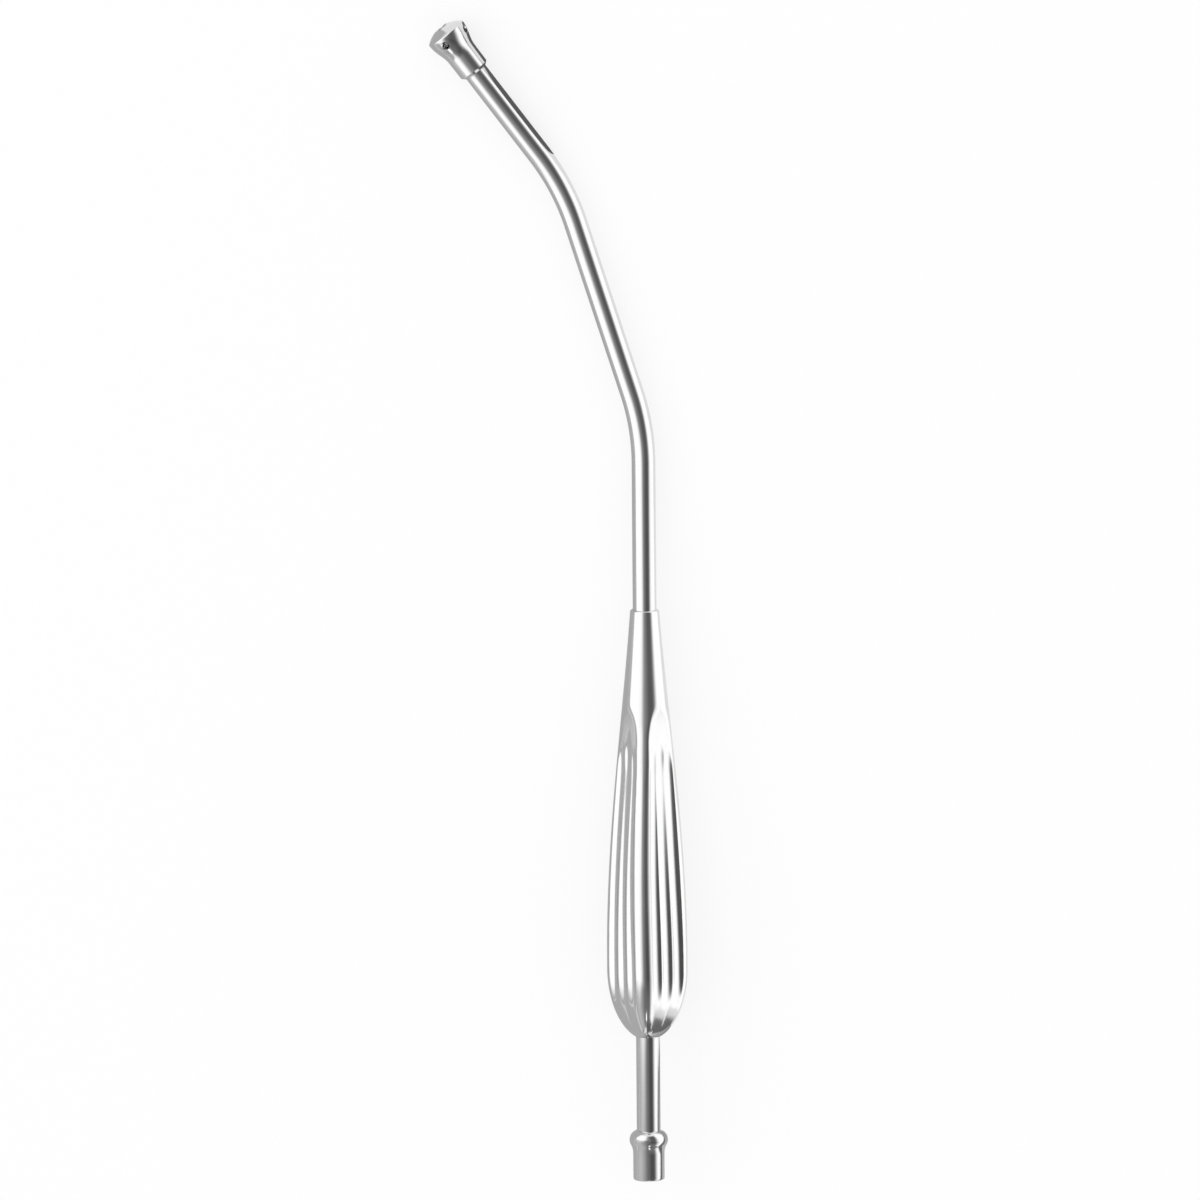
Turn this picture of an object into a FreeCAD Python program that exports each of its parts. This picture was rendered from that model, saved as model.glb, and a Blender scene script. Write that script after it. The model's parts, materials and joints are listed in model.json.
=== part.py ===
import FreeCAD, Part
import math
import os
from FreeCAD import Placement, Rotation, Vector

# A reusable Yankauer suction tube of polished stainless steel, in millimetres.
#
# One steel tube carries the suction. It runs straight through a hollow fluted
# handle, and beyond the handle's nose it is bent twice the same way in one
# plane. A turned olive for the hose is soldered on its tail. A threaded bush is
# soldered into its front end, and the perforated suction tip screws on that bush.
#
# The pieces are drawn on a bench frame: the handle's axis is Y, towards the tip,
# with station 0 at the handle's rear end. The bend plane is XY, the tip lies on
# the -X side, and +Z faces the viewer. They are then laid down as the instrument
# comes to rest on a table, on its belly, a bend of its tube and the tip's rim.

# Suction tube
tube_diameter = 5.7
tube_wall = 0.5
bend_radius = 56.0
first_bend_angle = 17.7
second_bend_angle = 19.2
nose_to_first_bend = 44.1
first_to_second_bend = 61.2
second_bend_to_tip = 35.0
solder_gap = 0.03

# Handle: a pear-shaped turned form with a rounded rear end and a slender nose
handle_length = 103.3
nose_diameter = 7.0
nose_slope = 0.078
nose_rim_round = 0.45
shoulder_diameter = 14.1
shoulder_slope = 0.1
shoulder_from_nose = 37.8
belly_diameter = 19.34
belly_start = 16.5
belly_end = 20.0
rear_diameter = 6.2
handle_wall = 0.9
nose_boss_length = 16.0

# Four flats pressed into the pear, each with three flutes
flat_count = 4
flat_turn = -5.2
flat_depth = 1.84
flat_shoulder_depth = 1.27
flat_shoulder_slope = 0.08
flat_level_station = 74.0
flat_level_distance = 5.36
flat_run_out_station = 80.5
flat_run_out_distance = 5.76
flat_run_out_slope = 0.17
flute_radius = 2.1
flute_depth = 0.6
flute_spread_angle = 20.0
middle_flute_end = 74.5
outer_flute_end = 71.5
flute_fade_length = 10.0
flute_overrun = 4.0
flute_path_points = 14

# Hose olive on the tail
tail_length = 34.8
olive_diameter = 9.2
olive_round = 2.4
olive_from_end = 9.7
neck_round = 4.5
spigot_diameter = 7.5
spigot_edge_round = 0.5
socket_depth = 8.0

# Threaded bush in the tube's front end
thread_diameter = 5.2
thread_length = 5.0
thread_lead = 0.3
bush_bore = 3.6
bush_flange = 0.8
bush_shank_length = 7.0

# Suction tip
tip_length = 13.0
thread_clearance = 0.05
tip_seat_diameter = 6.1
collar_diameter = 7.5
flare_start = 4.6
flare_start_diameter = 7.6
flare_foot_reach = 2.3
flare_head_reach = 2.9
flare_head_inset = 0.15
rim_diameter = 10.0
rim_from_seat = 11.1
rim_round = 0.4
tip_wall = 0.8
tip_throat_diameter = 3.8
thread_relief = 0.6
end_hole_diameter = 3.0
side_hole_diameter = 1.7
side_hole_chamfer = 0.2
side_hole_from_seat = 9.0
side_hole_mouth_radius = 4.7
side_hole_count = 4
side_hole_turn = 20.0

# Working values
axis = Vector(0, 1, 0)
up = Vector(0, 0, 1)
centre = Vector(0, 0, 0)
full_turn = 360.0
settle_rounds = 12
box_tolerance = 0.01

tube_radius = tube_diameter / 2
tube_bore_radius = tube_radius - tube_wall
nose_radius = nose_diameter / 2
nose_rim_start = handle_length - nose_rim_round
shoulder_radius = shoulder_diameter / 2
shoulder_station = handle_length - shoulder_from_nose
belly_radius = belly_diameter / 2
rear_radius = rear_diameter / 2
thread_radius = thread_diameter / 2
total_bend_angle = first_bend_angle + second_bend_angle

# Knots of the handle's outline in front of its belly: station, radius and slope
belly_knot = (belly_end, belly_radius, 0)
shoulder_knot = (shoulder_station, shoulder_radius, -shoulder_slope)
nose_knot = (nose_rim_start, nose_radius, -nose_slope)

# Knots of the flats' distance from the axis
flat_belly_knot = (belly_end, belly_radius - flat_depth, 0)
flat_shoulder_knot = (shoulder_station, shoulder_radius - flat_shoulder_depth, -flat_shoulder_slope)
flat_level_knot = (flat_level_station, flat_level_distance, 0)
flat_run_out_knot = (flat_run_out_station, flat_run_out_distance, flat_run_out_slope)


def at(radius, station):
    """A point of a turned outline: the radius along X, the station along Y."""
    return Vector(radius, station, 0)


def line(start, end):
    return Part.LineSegment(start, end).toShape()


def arc(start, middle, end):
    return Part.Arc(start, middle, end).toShape()


def bezier(*poles):
    curve = Part.BezierCurve()
    curve.setPoles(list(poles))
    return curve.toShape()


def spline(points):
    curve = Part.BSplineCurve()
    curve.interpolate(points)
    return curve.toShape()


def polyline(*points):
    return [line(a, b) for a, b in zip(points, points[1:])]


def turned(edges):
    """The solid that a closed outline sweeps in one turn about the axis."""
    return Part.Face(Part.Wire(edges)).revolve(centre, axis, full_turn)


def rod(radius, start, end):
    return Part.makeCylinder(radius, end - start, at(0, start), axis)


def about_axis(shape, angle):
    """A copy of the shape, turned about the axis."""
    copy = shape.copy()
    copy.rotate(centre, axis, angle)
    return copy


# Handle

def height_between(start, end, station):
    """Height at a station of the cubic that joins two knots."""
    length = end[0] - start[0]
    t = (station - start[0]) / length
    heights = (1 - t) ** 2 * (1 + 2 * t) * start[1] + t ** 2 * (3 - 2 * t) * end[1]
    slopes = t * (1 - t) ** 2 * start[2] - t ** 2 * (1 - t) * end[2]
    return heights + length * slopes


def edge_between(start, end):
    """The same cubic as an edge of the outline."""
    third = (end[0] - start[0]) / 3
    return bezier(at(start[1], start[0]), at(start[1] + start[2] * third, start[0] + third),
                  at(end[1] - end[2] * third, end[0] - third), at(end[1], end[0]))


def handle_radius(station):
    """Radius of the handle's turned form, in front of its belly."""
    if station <= shoulder_station:
        return height_between(belly_knot, shoulder_knot, station)
    return height_between(shoulder_knot, nose_knot, min(station, nose_rim_start))


def flat_distance(station):
    """Distance of the flats from the axis, between the belly and their run-out."""
    if station <= shoulder_station:
        return height_between(flat_belly_knot, flat_shoulder_knot, station)
    if station <= flat_level_station:
        return height_between(flat_shoulder_knot, flat_level_knot, station)
    return height_between(flat_level_knot, flat_run_out_knot, min(station, flat_run_out_station))


def lowered(knot, depth):
    station, radius, slope = knot
    return station, radius - depth, slope


def dome_reach(radius):
    """Length of the elliptic rear end that narrows from a belly radius to the rear radius."""
    return belly_start / math.sqrt(1 - (rear_radius / radius) ** 2)


def side_edges(belly, shoulder, reach):
    """An outline up to the shoulder: an elliptic rear end, a level belly and a swell."""
    ellipse = Part.Ellipse(at(0, belly_start - reach), at(belly[1], belly_start), at(0, belly_start))
    return [
        Part.ArcOfEllipse(ellipse, math.acos(belly_start / reach), math.pi / 2).toShape(),
        line(at(belly[1], belly_start), at(belly[1], belly_end)),
        edge_between(belly, shoulder),
    ]


def closed_to_axis(edges, rear, front):
    """Closes a half outline along the axis, from its front end to its rear end."""
    return edges + polyline(front, at(0, front.y), at(0, rear.y), rear)


def bar_across(half):
    """A bar with a half outline on both sides of the axis, to meet the pear with."""
    plate = Part.Face(Part.Wire(half)).extrude(up * belly_diameter)
    plate.translate(up * -belly_radius)
    return plate.fuse(plate.mirror(centre, Vector(1, 0, 0))).removeSplitter()


def flat_angle(index):
    """Angle of a flat about the axis. Lands stand between the flats, one of them near the viewer."""
    return flat_turn + full_turn / flat_count * (index + 0.5)


def squared(shape, bar):
    """The shape with its four sides cut to the bar's profile."""
    for i in range(flat_count // 2):
        shape = shape.common(about_axis(bar, flat_angle(i)))
    return shape


def make_pear():
    corner = nose_rim_round * (1 - math.sqrt(0.5))
    face_radius = nose_radius - nose_rim_round
    edges = side_edges(belly_knot, shoulder_knot, dome_reach(belly_radius))
    edges.append(edge_between(shoulder_knot, nose_knot))
    edges.append(arc(at(nose_radius, nose_rim_start),
                     at(nose_radius - corner, handle_length - corner),
                     at(face_radius, handle_length)))
    return turned(closed_to_axis(edges, edges[0].valueAt(edges[0].FirstParameter),
                                 at(face_radius, handle_length)))


def make_flats_bar():
    edges = side_edges(flat_belly_knot, flat_shoulder_knot, dome_reach(flat_belly_knot[1]))
    front = at(flat_run_out_distance, handle_length)
    edges.append(edge_between(flat_shoulder_knot, flat_level_knot))
    edges.append(edge_between(flat_level_knot, flat_run_out_knot))
    edges.append(line(at(flat_run_out_distance, flat_run_out_station), front))
    return bar_across(closed_to_axis(edges, edges[0].valueAt(edges[0].FirstParameter), front))


def flute_cut_depth(station, flute_end):
    """Depth of a flute below its flat: in proportion to the pear, and fading out towards the nose."""
    fade = max(0.0, (station - flute_end + flute_fade_length) / flute_fade_length)
    return flute_depth * handle_radius(station) / belly_radius * (1 - fade ** 2)


def make_flute_cutter(flute_end, spread):
    """A round cutter along one flute. Behind the belly it runs on level, so the dome falls away from it."""
    last = flute_end + flute_overrun
    path = []
    for i in range(flute_path_points):
        station = last * i / (flute_path_points - 1)
        followed = max(station, belly_end)
        depth = flute_cut_depth(followed, flute_end)
        distance = flat_distance(followed) - depth + flute_radius
        path.append(at(distance / math.cos(math.radians(spread)), station))
    route = spline(path)
    circle = Part.Circle(path[0], route.tangentAt(route.FirstParameter), flute_radius)
    cutter = Part.Wire(route).makePipeShell([Part.Wire(circle.toShape())], True, False)
    return about_axis(cutter, spread)


def hollow_outline(belly, shoulder, depth):
    """Half outline of the handle's hollow, a depth inside an outer one, up to the solid nose."""
    inner_shoulder = lowered(shoulder, depth)
    edges = side_edges(lowered(belly, depth), inner_shoulder, dome_reach(belly[1]) - handle_wall)
    front_station = handle_length - nose_boss_length
    front_radius = inner_shoulder[1] + inner_shoulder[2] * (front_station - shoulder_station)
    front = at(front_radius, front_station)
    edges.append(line(at(inner_shoulder[1], shoulder_station), front))
    return closed_to_axis(edges, edges[0].valueAt(edges[0].FirstParameter), front)


def make_cavity():
    """The hollow of the handle. It keeps one wall under the lands and under the flutes."""
    pear = hollow_outline(belly_knot, shoulder_knot, handle_wall)
    side = hollow_outline(flat_belly_knot, flat_shoulder_knot, handle_wall + flute_depth)
    return squared(turned(pear), bar_across(side))


def make_handle():
    body = squared(make_pear(), make_flats_bar())
    flutes = [
        make_flute_cutter(outer_flute_end, -flute_spread_angle),
        make_flute_cutter(middle_flute_end, 0),
        make_flute_cutter(outer_flute_end, flute_spread_angle),
    ]
    for i in range(flat_count):
        for flute in flutes:
            body = body.cut(about_axis(flute, flat_angle(i)))
    bore = rod(tube_radius + solder_gap, 0, handle_length)
    return body.cut(make_cavity()).cut(bore).removeSplitter()


# Suction tube

def heading(angle):
    """The direction that the tube takes after bending by an angle from the handle's axis."""
    return Rotation(up, angle).multVec(axis)


def tube_corners():
    """The centreline's two corners and its front end, before the bends are rounded."""
    first = at(0, handle_length + nose_to_first_bend)
    second = first + heading(first_bend_angle) * first_to_second_bend
    front = second + heading(total_bend_angle) * second_bend_to_tip
    return first, second, front


def bend_edges(corner, angle_before, angle_after):
    """The arc that rounds one corner, with its two ends."""
    turn = math.radians(angle_after - angle_before)
    setback = bend_radius * math.tan(turn / 2)
    start = corner - heading(angle_before) * setback
    end = corner + heading(angle_after) * setback
    inward = heading((angle_before + angle_after) / 2 + 90)
    middle = corner + inward * bend_radius * (1 / math.cos(turn / 2) - 1)
    return start, arc(start, middle, end), end


def tube_route(rear_station, front_margin):
    """The tube's centreline, from a station on the tail to a margin short of its front corner."""
    first, second, front = tube_corners()
    start = at(0, rear_station)
    end = front - heading(total_bend_angle) * front_margin
    in_1, arc_1, out_1 = bend_edges(first, 0, first_bend_angle)
    in_2, arc_2, out_2 = bend_edges(second, first_bend_angle, total_bend_angle)
    return Part.Wire([line(start, in_1), arc_1, line(out_1, in_2), arc_2, line(out_2, end)])


def swept(radius, route, start):
    circle = Part.Circle(start, axis, radius).toShape()
    return route.makePipeShell([Part.Wire(circle)], True, False)


def tube_tail_station():
    return olive_front_station() - socket_depth


def make_tube():
    rear = tube_tail_station()
    route = tube_route(rear, bush_flange)
    return swept(tube_radius, route, at(0, rear)).cut(swept(tube_bore_radius, route, at(0, rear)))


# Hose olive

def olive_centre():
    """Centre of the olive's round section, in the outline's plane."""
    return at(olive_diameter / 2 - olive_round, olive_from_end - tail_length)


def olive_front_station():
    """Where the olive's round section meets the tube."""
    middle = olive_centre()
    inset = tube_radius + solder_gap - middle.x
    return middle.y + math.sqrt(olive_round ** 2 - inset ** 2)


def make_hose_olive():
    middle = olive_centre()
    bore = tube_radius + solder_gap
    spigot = spigot_diameter / 2
    front = at(bore, olive_front_station())
    neck_drop = math.sqrt((olive_round + neck_round) ** 2 - (spigot + neck_round - middle.x) ** 2)
    neck = at(spigot + neck_round, middle.y - neck_drop)
    waist = middle + (neck - middle) * (olive_round / (olive_round + neck_round))
    to_waist = waist - neck
    halfway = Vector(to_waist).normalize() + Vector(-1, 0, 0)
    corner = spigot_edge_round * (1 - math.sqrt(0.5))
    end = -tail_length
    shoulder = tube_tail_station()
    edges = [
        arc(front, at(middle.x + olive_round, middle.y), waist),
        arc(waist, neck + halfway.normalize() * neck_round, at(spigot, neck.y)),
        line(at(spigot, neck.y), at(spigot, end + spigot_edge_round)),
        arc(at(spigot, end + spigot_edge_round), at(spigot - corner, end + corner),
            at(spigot - spigot_edge_round, end)),
    ]
    edges += polyline(at(spigot - spigot_edge_round, end), at(tube_bore_radius, end),
                      at(tube_bore_radius, shoulder), at(bore, shoulder), front)
    return turned(edges)


# Threaded bush and suction tip, drawn on their own axis with station 0 at the tip's seat

def make_tip_bush():
    shank = tube_bore_radius - solder_gap
    bore = bush_bore / 2
    rear = -bush_flange - bush_shank_length
    return turned(polyline(
        at(bore, rear), at(shank, rear), at(shank, -bush_flange), at(tube_radius, -bush_flange),
        at(tube_radius, 0), at(thread_radius, 0), at(thread_radius, thread_length - thread_lead),
        at(thread_radius - thread_lead, thread_length), at(bore, thread_length), at(bore, rear)))


def dome_radius():
    """Radius of the tip's round nose, from its rise over the rim."""
    rise = tip_length - rim_from_seat
    return ((rim_diameter / 2) ** 2 + rise ** 2) / (2 * rise)


def make_tip_outside():
    seat = tip_seat_diameter / 2
    collar = collar_diameter / 2
    rim = rim_diameter / 2
    nose = dome_radius()
    nose_centre = at(0, tip_length - nose)
    # The rim's round is tangent to the upright side inside it and to the nose's sphere.
    round_centre_radius = rim - rim_round
    round_centre = at(round_centre_radius,
                      nose_centre.y + math.sqrt((nose - rim_round) ** 2 - round_centre_radius ** 2))
    outward = (round_centre - nose_centre).normalize()
    nose_start = round_centre + outward * rim_round
    halfway = (outward + Vector(1, 0, 0)).normalize()
    nose_angle = math.atan2(nose_start.x, nose_start.y - nose_centre.y) / 2
    foot = at(flare_start_diameter / 2, flare_start)
    head = at(rim, round_centre.y)
    edges = polyline(at(0, 0), at(seat, 0), at(collar, collar - seat), foot)
    edges.append(bezier(foot, foot + at(0, flare_foot_reach),
                        head - at(flare_head_inset, flare_head_reach), head))
    edges.append(arc(head, round_centre + halfway * rim_round, nose_start))
    edges.append(arc(nose_start,
                     nose_centre + Vector(math.sin(nose_angle), math.cos(nose_angle), 0) * nose,
                     at(0, tip_length)))
    edges.append(line(at(0, tip_length), at(0, 0)))
    return turned(edges)


def make_tip_hollow():
    """Thread bore, throat and the chamber behind the perforated nose."""
    bore = thread_radius + thread_clearance
    bore_end = thread_length + thread_relief
    throat = tip_throat_diameter / 2
    chamber = rim_diameter / 2 - tip_wall
    nose = dome_radius()
    nose_centre = tip_length - nose
    inner = nose - tip_wall
    corner = at(chamber, nose_centre + math.sqrt(inner ** 2 - chamber ** 2))
    top = at(0, tip_length - tip_wall)
    halfway = math.atan2(corner.x, corner.y - nose_centre) / 2
    edges = polyline(at(0, 0), at(bore, 0), at(bore, bore_end), at(throat, bore_end + bore - throat),
                     at(chamber, corner.y - tip_wall), corner)
    edges.append(arc(corner, at(inner * math.sin(halfway), nose_centre + inner * math.cos(halfway)), top))
    edges.append(line(top, at(0, 0)))
    return turned(edges)


def make_side_hole():
    """A radial drill with a cone that breaks the hole's outer edge, pointing along +Z."""
    drill = side_hole_diameter / 2
    cone_start = side_hole_mouth_radius - side_hole_chamfer
    cone_height = rim_diameter - cone_start
    hole = Part.makeCylinder(drill, rim_diameter, at(0, side_hole_from_seat), up)
    cone = Part.makeCone(drill, drill + cone_height, cone_height,
                         at(0, side_hole_from_seat) + up * cone_start, up)
    return hole.fuse(cone)


def make_suction_tip():
    tip = make_tip_outside().cut(make_tip_hollow())
    tip = tip.cut(rod(end_hole_diameter / 2, tip_length / 2, tip_length + tip_wall))
    hole = make_side_hole()
    for i in range(side_hole_count):
        tip = tip.cut(about_axis(hole, -side_hole_turn + full_turn / side_hole_count * i))
    return tip


# Rest on the table

def rest_rings():
    """Rings of the instrument that may touch the table, in three groups: centre, axis and radius."""
    first, second, front = tube_corners()
    belly = [(at(0, s * handle_length / 100), axis, handle_radius(s * handle_length / 100))
             for s in range(20, 101)]
    route = tube_route(handle_length, 0)
    tube = []
    for edge in route.OrderedEdges:
        for i in range(41):
            t = edge.FirstParameter + (edge.LastParameter - edge.FirstParameter) * i / 40
            tube.append((edge.valueAt(t), edge.tangentAt(t), tube_radius))
    tip_axis = heading(total_bend_angle)
    rim = [(front + tip_axis * (rim_from_seat - rim_round), tip_axis, rim_diameter / 2)]
    return belly, tube, rim


def lowest(rings, turn):
    """The lowest point of a group of rings once they are turned."""
    best = None
    for ring_centre, ring_axis, radius in rings:
        along = turn.multVec(ring_axis)
        down = along * along.z - up
        down.normalize()
        point = turn.multVec(ring_centre) + down * radius
        if best is None or point.z < best.z:
            best = point
    return best


def lying_down():
    """The turn that brings the belly, a bend of the tube and the tip's rim to one level."""
    groups = rest_rings()
    turn = Rotation()
    for _ in range(settle_rounds):
        feet = [lowest(group, turn) for group in groups]
        level = (feet[1] - feet[0]).cross(feet[2] - feet[0]).normalize()
        if level.z < 0:
            level = level * -1
        turn = Rotation(level, up).multiply(turn)
    return turn


def rest_placement(shapes):
    """Lays the shapes down and puts the origin under the middle of their box."""
    turn = lying_down()
    points = []
    for shape in shapes:
        laid = shape.copy()
        laid.Placement = Placement(Vector(), turn).multiply(laid.Placement)
        points += laid.tessellate(box_tolerance)[0]
    middle_x = (min(p.x for p in points) + max(p.x for p in points)) / 2
    middle_y = (min(p.y for p in points) + max(p.y for p in points)) / 2
    floor = min(p.z for p in points)
    return Placement(Vector(-middle_x, -middle_y, -floor), turn)


def main():
    _, _, front = tube_corners()
    on_tube_end = Placement(front, Rotation(up, total_bend_angle))
    pieces = {
        "handle": make_handle(),
        "suction_tube": make_tube(),
        "hose_olive": make_hose_olive(),
        "tip_bush": make_tip_bush(),
        "suction_tip": make_suction_tip(),
    }
    for name in ("tip_bush", "suction_tip"):
        pieces[name].Placement = on_tube_end
    rest = rest_placement(pieces.values())
    os.makedirs("parts", exist_ok=True)
    for name, piece in pieces.items():
        piece.Placement = rest.multiply(piece.Placement)
        piece.exportStep("parts/" + name + ".step")
        print(name, "valid", piece.isValid(), "solids", len(piece.Solids),
              "volume", round(piece.Volume, 1), "faces", len(piece.Faces))
    print("hose end", rest.multVec(at(0, -tail_length)))
    print("handle axis", rest.Rotation.multVec(axis))
    print("viewer side", rest.Rotation.multVec(up))
    print("tip seat", rest.multVec(front))
    print("tip axis", rest.Rotation.multVec(heading(total_bend_angle)))


main()
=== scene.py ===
# %% [markdown]
# # A suction tube of polished steel
# The object is a long surgical suction tube: a slim steel tube that runs through a fluted
# handle, is bent twice beyond it, and carries a small perforated tip. Everything on it is the
# same bright steel, so its looks come from three things: true curves, a fine polish, and a
# studio that gives the steel something to reflect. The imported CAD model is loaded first. It
# fixes where every piece is and how the tip moves.

# %% Load the frame
import json
import math

import bpy
import numpy as np
from mathutils import Matrix, Vector


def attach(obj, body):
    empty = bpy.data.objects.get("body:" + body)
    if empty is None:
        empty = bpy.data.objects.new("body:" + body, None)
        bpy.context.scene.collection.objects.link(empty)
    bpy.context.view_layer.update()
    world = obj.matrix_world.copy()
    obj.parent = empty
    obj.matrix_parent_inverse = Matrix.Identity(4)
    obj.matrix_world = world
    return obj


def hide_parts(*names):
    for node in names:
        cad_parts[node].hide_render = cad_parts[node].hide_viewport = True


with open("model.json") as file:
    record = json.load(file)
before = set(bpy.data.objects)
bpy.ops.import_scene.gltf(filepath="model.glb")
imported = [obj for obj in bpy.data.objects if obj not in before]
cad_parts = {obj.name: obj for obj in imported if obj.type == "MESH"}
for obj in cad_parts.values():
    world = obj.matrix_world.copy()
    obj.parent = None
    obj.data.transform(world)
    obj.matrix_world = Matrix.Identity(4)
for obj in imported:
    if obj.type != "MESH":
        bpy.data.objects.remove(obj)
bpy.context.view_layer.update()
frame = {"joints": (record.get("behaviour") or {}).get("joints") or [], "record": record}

# %% [markdown]
# The instrument lies tilted on the table, which makes its own numbers awkward. Like the
# workshop that makes it, this script works on a bench: Y runs along the handle towards the
# tip, X to the viewer's right and Z up to the viewer, in millimetres, with station 0 at the
# handle's rear end. The record gives the hose spigot's axis and the tip's axis, and those two
# directions are enough to turn bench places into places on the table.

# %% Bench coordinates
SPIGOT_STATION = -31.08
MM = 0.001

spigot = frame["record"]["mounts"][0]
bench_y = -Vector(spigot["axis"]).normalized()
tip_axis = Vector(frame["joints"][0]["axis"]).normalized()
bench_z = bench_y.cross(tip_axis).normalized()
bench_x = bench_y.cross(bench_z)
bench_origin = Vector(spigot["pos_m"]) - bench_y * SPIGOT_STATION * MM
BENCH_AXES = np.array([bench_x, bench_y, bench_z])


def on_table(points):
    """Bench points in millimetres, as places on the table in metres."""
    return np.array(bench_origin) + (np.asarray(points, float) * MM) @ BENCH_AXES


bench_matrix = Matrix((bench_x, bench_y, bench_z)).transposed().to_4x4()
bench_matrix.translation = bench_origin
print("bench origin", [round(v, 5) for v in bench_origin])

# %% [markdown]
# Every piece here is a skin of rings, one ring per station, joined by four-sided faces. The
# same helper builds them all: the rings close round the axis, and the last ring joins the
# first again through the piece's bore, so each mesh is watertight. Each point also keeps its
# "maker's place", which is where it would be if the piece were straight. The polish follows
# that place, so its lines run true along a bent tube.

# %% Rings into a closed mesh
MAKERS_PLACE = "makers_place"


def build_piece(name, rings, places, body, node):
    """A watertight skin over rings of points: rings[i][j] is point j of ring i."""
    rows, columns = rings.shape[:2]
    index = np.arange(rows * columns).reshape(rows, columns)
    right = np.roll(index, -1, axis=1)
    faces = np.stack([index, right, np.roll(right, -1, axis=0), np.roll(index, -1, axis=0)], axis=-1)
    mesh = bpy.data.meshes.new(name)
    mesh.from_pydata(on_table(rings.reshape(-1, 3)).tolist(), [], faces.reshape(-1, 4).tolist())
    mesh.attributes.new(MAKERS_PLACE, "FLOAT_VECTOR", "POINT").data.foreach_set(
        "vector", places.reshape(-1).astype(np.float32))
    piece = bpy.data.objects.new(name, mesh)
    bpy.context.scene.collection.objects.link(piece)
    face_outwards(mesh)
    mesh.shade_smooth()
    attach(piece, body)
    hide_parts(node)
    print(name, rows, "rings of", columns, "->", len(mesh.polygons), "faces")
    return piece


def face_outwards(mesh):
    """Turns the faces over if the mesh's signed volume says that they look inwards."""
    mesh.calc_loop_triangles()
    count = len(mesh.loop_triangles)
    corners = np.zeros(count * 3, np.int32)
    mesh.loop_triangles.foreach_get("vertices", corners)
    points = np.zeros(len(mesh.vertices) * 3, np.float32)
    mesh.vertices.foreach_get("co", points)
    a, b, c = points.reshape(-1, 3)[corners.reshape(-1, 3)].transpose(1, 0, 2)
    if np.einsum("ij,ij->i", a, np.cross(b, c)).sum() < 0:
        mesh.flip_normals()


def ring_angles(count):
    """Angles about the axis, in radians. Angle 0 faces the viewer and +90 degrees the right."""
    return np.arange(count) * (2 * math.pi / count)


def straight_rings(radii, stations, angles):
    """Rings about the bench's Y axis. radii[i][j] belongs to station i and angle j."""
    radii = np.broadcast_to(np.asarray(radii, float), (len(stations), len(angles)))
    along = np.broadcast_to(np.asarray(stations, float)[:, None], radii.shape)
    return np.stack([radii * np.sin(angles), along, radii * np.cos(angles)], axis=-1)


def sharpen(piece, degrees):
    """Keeps the edges sharp where neighbouring faces turn by more than an angle."""
    piece.data.set_sharp_from_angle(angle=math.radians(degrees))


# %% [markdown]
# ## The camera
# The photograph looks nearly straight down on the bench, from far away, with only a slight
# lean towards the tip. A long lens keeps the tube's bends true. The camera is placed on the
# bench and carried over to the table with the same matrix as the pieces.

# %% Camera
CAMERA_TARGET = Vector((-10.64, 105.66, 0))
CAMERA_DISTANCE = 8000
CAMERA_LEAN = math.radians(9)
IMAGE_ROLL = math.radians(0.45)
CAMERA_LENS = 1005.6
SENSOR_WIDTH = 36
CLIP_END = 40

looking_from = Vector((0, math.sin(CAMERA_LEAN), math.cos(CAMERA_LEAN)))
image_up = Vector((math.sin(IMAGE_ROLL), math.cos(IMAGE_ROLL), 0))
image_right = image_up.cross(looking_from).normalized()
image_up = looking_from.cross(image_right)

camera_data = bpy.data.cameras.new("bench_camera")
camera_data.lens = CAMERA_LENS
camera_data.sensor_width = SENSOR_WIDTH
camera = bpy.data.objects.new("bench_camera", camera_data)
bpy.context.scene.collection.objects.link(camera)
turn = Matrix((image_right, image_up, looking_from)).transposed()
camera.rotation_mode = "QUATERNION"
camera.rotation_quaternion = (bench_matrix.to_3x3() @ turn).to_quaternion()
camera.location = bench_matrix @ ((CAMERA_TARGET + looking_from * CAMERA_DISTANCE) * MM)
camera_data.clip_end = CLIP_END
bpy.context.scene.camera = camera
print("camera at", [round(v, 3) for v in camera.location])

# %% [markdown]
# ## Handle: the turned form
# The handle starts as a pear turned on a lathe: a rounded rear end, a level belly, and a long
# slope to a slender nose. Two knots with a slope each are joined by a cubic, which is the same
# curve as the CAD model's, so the skin lies on the solid.

# %% Handle outline
HANDLE_LENGTH = 103.3
REAR_RADIUS = 3.1
BELLY = (20.0, 9.67, 0)
BELLY_START = 16.5
SHOULDER = (65.5, 7.05, -0.1)
NOSE_RIM_ROUND = 0.45
NOSE = (HANDLE_LENGTH - NOSE_RIM_ROUND, 3.5, -0.078)

FLAT_BELLY = (20.0, 7.83, 0)
FLAT_SHOULDER = (65.5, 5.9, -0.07)
FLAT_LEVEL = (75.0, 5.2, 0)
FLAT_RUN_OUT = (80.8, 5.7, 0.2)


def cubic_between(start, end, stations):
    """Height of the cubic that joins two knots of station, height and slope."""
    length = end[0] - start[0]
    t = np.clip((stations - start[0]) / length, 0, 1)
    heights = (1 - t) ** 2 * (1 + 2 * t) * start[1] + t ** 2 * (3 - 2 * t) * end[1]
    slopes = t * (1 - t) ** 2 * start[2] - t ** 2 * (1 - t) * end[2]
    return heights + length * slopes


def dome(belly_radius, stations):
    """The elliptic rear end, which narrows to the rear radius at station 0."""
    reach = BELLY_START / math.sqrt(1 - (REAR_RADIUS / belly_radius) ** 2)
    return belly_radius * np.sqrt(1 - (np.clip(BELLY_START - stations, 0, None) / reach) ** 2)


def profile(knots, stations):
    """A whole outline: the rear dome, the level belly, then a cubic from each knot to the next."""
    heights = dome(knots[0][1], stations)
    for start, end in zip(knots, knots[1:]):
        heights = np.where(stations > start[0], cubic_between(start, end, stations), heights)
    return heights


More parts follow.
